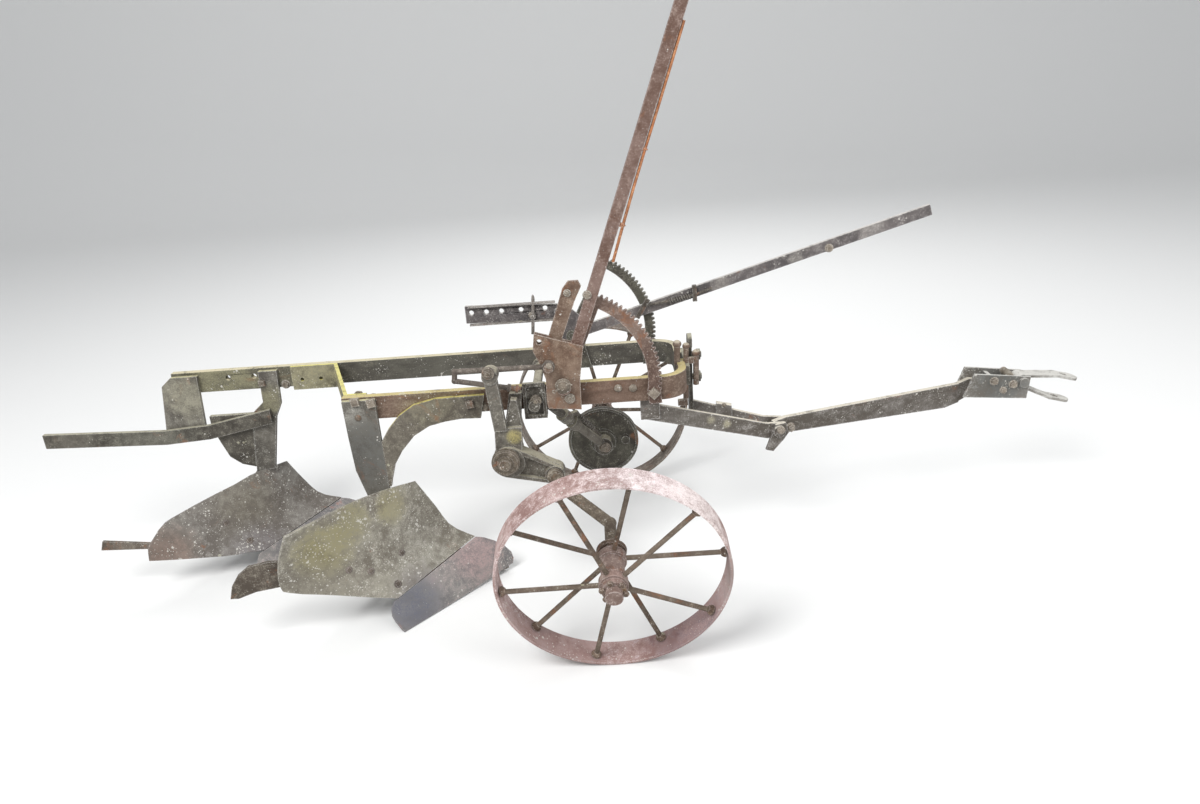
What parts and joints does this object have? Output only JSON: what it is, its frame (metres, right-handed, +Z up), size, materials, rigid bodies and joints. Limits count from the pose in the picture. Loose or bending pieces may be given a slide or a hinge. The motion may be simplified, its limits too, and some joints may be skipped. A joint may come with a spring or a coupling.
{
  "type": "moldboard plough",
  "caption": "Trailed furrow plough with flat beams, curved moldboards, spoked steel wheels on cranks, long hand levers with toothed quadrants and a jointed drawbar.",
  "frame": {"origin": "on the floor under the middle of the whole plough", "axes": "+X along the travel, towards the hitch; +Y to the land side, left of the travel; +Z up"},
  "size_m": [3.6273, 1.3888, 1.8666],
  "materials": {
    "near_beam_steel": "rusted steel, red at the front and yellow lichen on top",
    "lichen_steel": "brown steel with yellow-green lichen",
    "standard_iron": "dark iron with a yellow lichen crust",
    "dark_steel": "dark brown weathered steel",
    "moldboard_steel": "dark worn plate with lichen patches",
    "share_steel": "violet grey wing and rusty pink nose",
    "body_iron": "brown rusted iron",
    "red_rust": "red-brown rust",
    "cast_grey": "grey-green weathered casting",
    "axle_steel": "brown rusted round steel",
    "drawbar_steel": "pale brown weathered bar",
    "hitch_steel": "grey steel with pale lichen",
    "near_rim_steel": "faded pink-red rim with whitish bloom",
    "spoke_steel": "brown rusted rod",
    "hub_iron": "rusty red cast hub",
    "land_rim_steel": "brown rim, bare at the top",
    "near_lever_steel": "red-brown rust with orange edges",
    "link_rod": "dark rusted rod",
    "far_lever_steel": "grey-green weathered bar"
  },
  "bodies": {
    "plough_frame": {"near_beam": "near_beam_steel", "far_beam": "lichen_steel", "beam_brace": "lichen_steel", "front_cross": "dark_steel", "drawbar_clamp": "dark_steel", "front_leg": "lichen_steel", "front_standard": "standard_iron", "front_frog": "body_iron", "front_moldboard": "moldboard_steel", "front_share": "share_steel", "front_tailpiece": "body_iron", "front_landside": "body_iron", "front_strut": "body_iron", "rear_leg": "lichen_steel", "rear_standard": "dark_steel", "rear_frog": "body_iron", "rear_moldboard": "moldboard_steel", "rear_share": "share_steel", "rear_tailpiece": "body_iron", "rear_landside": "body_iron", "rear_strut": "body_iron", "tail_plate": "lichen_steel", "tail_bar": "dark_steel", "near_quadrant": "red_rust", "far_quadrant": "cast_grey", "crank_bracket": "cast_grey", "crank_hanger": "cast_grey", "bell_crank": "cast_grey", "near_axle": "axle_steel", "cross_shaft": "cast_grey", "land_crank": "cast_grey", "clutch_disc": "cast_grey", "land_axle": "axle_steel", "near_strap": "drawbar_steel", "far_strap": "drawbar_steel", "strap_joint": "drawbar_steel", "tongue": "drawbar_steel", "hitch_head": "hitch_steel", "hitch_clevis": "hitch_steel"},
    "near_wheel": {"near_rim": "near_rim_steel", "near_spokes": "spoke_steel", "near_hub": "hub_iron"},
    "land_wheel": {"land_rim": "land_rim_steel", "land_spokes": "spoke_steel", "land_hub": "hub_iron"},
    "near_lever": {"near_lever": "near_lever_steel", "near_lever_plates": "near_lever_steel"},
    "near_link": {"near_link": "link_rod"},
    "far_lever": {"far_lever": "far_lever_steel", "far_lever_plate": "far_lever_steel"},
    "far_link": {"far_link": "far_lever_steel"}
  },
  "joints": [
    {"name": "near_wheel_turn", "type": "hinge", "parent": "plough_frame", "child": "near_wheel", "pos_m": [0.15088, -0.59064, 0.32175], "axis": [0, 0.9816, 0.1908], "continuous": true},
    {"name": "land_wheel_turn", "type": "hinge", "parent": "plough_frame", "child": "land_wheel", "pos_m": [0.14288, 0.59336, 0.33], "axis": [0, 1, 0], "continuous": true},
    {"name": "near_lever_swing", "type": "hinge", "parent": "plough_frame", "child": "near_lever", "pos_m": [0.03788, -0.10914, 0.684], "axis": [0, 1, 0], "range_deg": [0, 50]},
    {"name": "near_link_swing", "type": "hinge", "parent": "near_lever", "child": "near_link", "pos_m": [-0.00112, -0.13914, 0.76], "axis": [0, 1, 0], "range_deg": [-50, 0]},
    {"name": "far_lever_swing", "type": "hinge", "parent": "plough_frame", "child": "far_lever", "pos_m": [0.06188, 0.25586, 0.733], "axis": [0, 1, 0], "range_deg": [-46, 8]},
    {"name": "far_link_swing", "type": "hinge", "parent": "far_lever", "child": "far_link", "pos_m": [0.02388, 0.23586, 0.825], "axis": [0, 1, 0], "range_deg": [-8, 46]}
  ],
  "couplings": [
    {"joint": "near_link_swing", "follows": "near_lever_swing", "ratio": -1},
    {"joint": "far_link_swing", "follows": "far_lever_swing", "ratio": -1}
  ]
}
